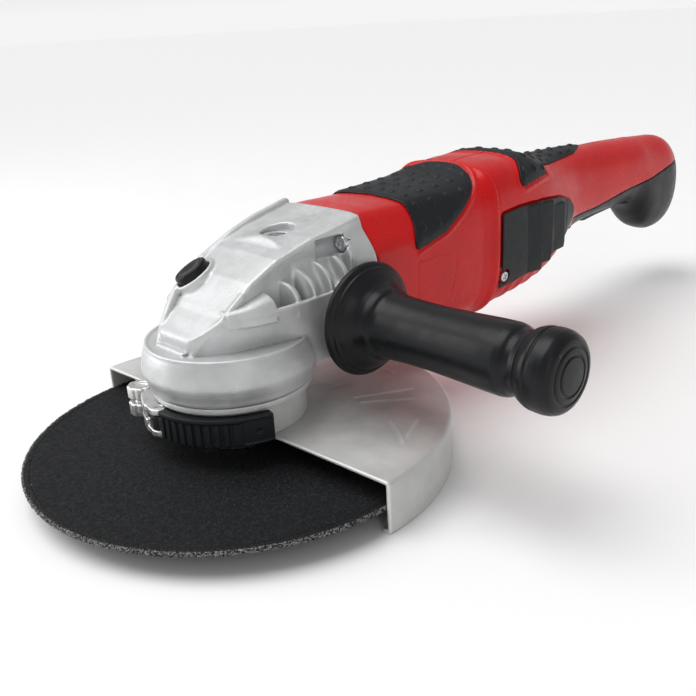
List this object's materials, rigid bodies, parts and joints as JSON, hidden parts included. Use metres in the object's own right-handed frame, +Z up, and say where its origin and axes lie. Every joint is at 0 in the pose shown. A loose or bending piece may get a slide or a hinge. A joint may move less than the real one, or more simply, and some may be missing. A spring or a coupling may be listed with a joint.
{
  "type": "angle grinder",
  "caption": "Large corded angle grinder: cast gear head with quarter guard and cutting disc, motor housing with soft grips, screwed side handle and a swivelling rear handle with trigger.",
  "frame": {"origin": "centre of the spindle's threaded end face", "axes": "+Z up along the spindle, +Y along the motor towards the rear handle, +X towards the side handle"},
  "size_m": [0.2945, 0.598, 0.139],
  "materials": {
    "cast_aluminium": "sand-textured die casting, satin",
    "bright_steel": "bright zinc-plated steel",
    "dark_steel": "oiled steel",
    "guard_steel": "satin silver paint over pressed steel sheet",
    "zinc_cast": "bright cast zinc",
    "disc_black": "matt resin-bonded abrasive with fine grain",
    "disc_grit": "coarse glittering abrasive edge",
    "red_plastic": "bright red moulded plastic, semi-gloss",
    "soft_grip": "charcoal soft overmould with small raised dimples",
    "charcoal_plastic": "dark charcoal moulded plastic, fine spark texture",
    "black_plastic": "black moulded plastic, satin",
    "handle_black": "black soft plastic, satin sheen",
    "copper_wire": "enamelled copper",
    "carbon": "matt pressed carbon"
  },
  "bodies": {
    "tool_body": {"gear_housing": "cast_aluminium", "gear_housing_screw_1": "bright_steel", "gear_housing_screw_2": "bright_steel", "gear_housing_screw_3": "bright_steel", "gear_housing_screw_4": "bright_steel", "bearing_cover": "cast_aluminium", "spindle_bearing": "bright_steel", "spindle_needle_bearing": "bright_steel", "spindle_lock_spring": "bright_steel", "side_handle_stud": "bright_steel", "side_handle_grip": "handle_black", "side_handle_end_cap": "handle_black", "motor_housing": "red_plastic", "motor_soft_grip": "soft_grip", "stator_core": "dark_steel", "field_coil_upper": "copper_wire", "field_coil_lower": "copper_wire", "air_baffle": "black_plastic", "motor_bearing_front": "bright_steel", "motor_bearing_rear": "bright_steel", "brush_left": "carbon", "brush_holder_left": "copper_wire", "brush_right": "carbon", "brush_holder_right": "copper_wire"},
    "spindle_assembly": {"spindle": "dark_steel", "crown_gear": "dark_steel", "disc_flange": "bright_steel", "disc_core": "disc_black", "disc_rim": "disc_grit", "clamp_nut": "bright_steel"},
    "armature_assembly": {"armature_shaft": "bright_steel", "armature_core": "dark_steel", "armature_winding_front": "copper_wire", "armature_winding_rear": "copper_wire", "commutator": "copper_wire", "cooling_fan": "black_plastic", "pinion_gear": "dark_steel"},
    "spindle_lock": {"spindle_lock_button": "black_plastic"},
    "disc_guard": {"guard_plate": "guard_steel", "guard_collar": "guard_steel", "guard_clamp_block": "zinc_cast", "guard_lever_pin": "bright_steel"},
    "tension_knob": {"guard_tension_knob": "zinc_cast"},
    "guard_lever": {"guard_clamp_lever": "charcoal_plastic"},
    "rear_handle": {"handle_shell_left": "red_plastic", "handle_shell_right": "red_plastic", "hand_guard": "black_plastic", "vent_cover_left": "charcoal_plastic", "vent_cover_right": "charcoal_plastic", "rear_soft_grip": "soft_grip", "trigger_pin": "bright_steel", "switch_module": "black_plastic", "soft_start_module": "charcoal_plastic", "cord_gland": "black_plastic", "cord_clamp": "charcoal_plastic"},
    "handle_release": {"handle_release_button": "black_plastic"},
    "trigger_lever": {"trigger": "black_plastic"},
    "lock_off": {"lock_off_slider": "black_plastic"}
  },
  "joints": [
    {"name": "spindle_spin", "type": "hinge", "parent": "tool_body", "child": "spindle_assembly", "pos_m": [0, 0, 0], "axis": [0, 0, 1], "continuous": true},
    {"name": "armature_spin", "type": "hinge", "parent": "tool_body", "child": "armature_assembly", "pos_m": [0, 0, 0.081], "axis": [0, 1, 0], "continuous": true},
    {"name": "spindle_lock_press", "type": "slide", "parent": "tool_body", "child": "spindle_lock", "axis": [0.268, 0.4467, -0.8536], "range_m": [0, 0.0045], "stiffness_N_per_m": 600, "springref_m": -0.004, "deforming": ["spindle_lock_spring"]},
    {"name": "guard_turn", "type": "hinge", "parent": "tool_body", "child": "disc_guard", "pos_m": [0, 0, 0.026], "axis": [0, 0, 1], "range_deg": [-90, 90]},
    {"name": "guard_lever_swing", "type": "hinge", "parent": "disc_guard", "child": "guard_lever", "pos_m": [-0.00542, -0.04417, 0.03475], "axis": [0, 0, -1], "range_deg": [0, 100]},
    {"name": "tension_knob_turn", "type": "hinge", "parent": "disc_guard", "child": "tension_knob", "pos_m": [-0.03766, -0.03512, 0.035], "axis": [0, 0, 1], "continuous": true},
    {"name": "handle_swivel", "type": "hinge", "parent": "tool_body", "child": "rear_handle", "pos_m": [0, 0.182, 0.086], "axis": [0, 1, 0], "range_deg": [-90, 90]},
    {"name": "handle_release_press", "type": "slide", "parent": "rear_handle", "child": "handle_release", "axis": [0, 0, 1], "range_m": [0, 0.003], "stiffness_N_per_m": 500, "springref_m": -0.004},
    {"name": "trigger_squeeze", "type": "hinge", "parent": "rear_handle", "child": "trigger_lever", "pos_m": [0, 0.396, 0.0785], "axis": [-1, 0, 0], "range_deg": [0, 5.5], "stiffness_Nm_per_rad": 3, "springref_deg": -6.88},
    {"name": "lock_off_slide", "type": "slide", "parent": "rear_handle", "child": "lock_off", "axis": [0, -1, 0], "range_m": [0, 0.0045], "stiffness_N_per_m": 400, "springref_m": -0.004}
  ],
  "couplings": [
    {"joint": "armature_spin", "follows": "spindle_spin", "ratio": 3.8182}
  ]
}
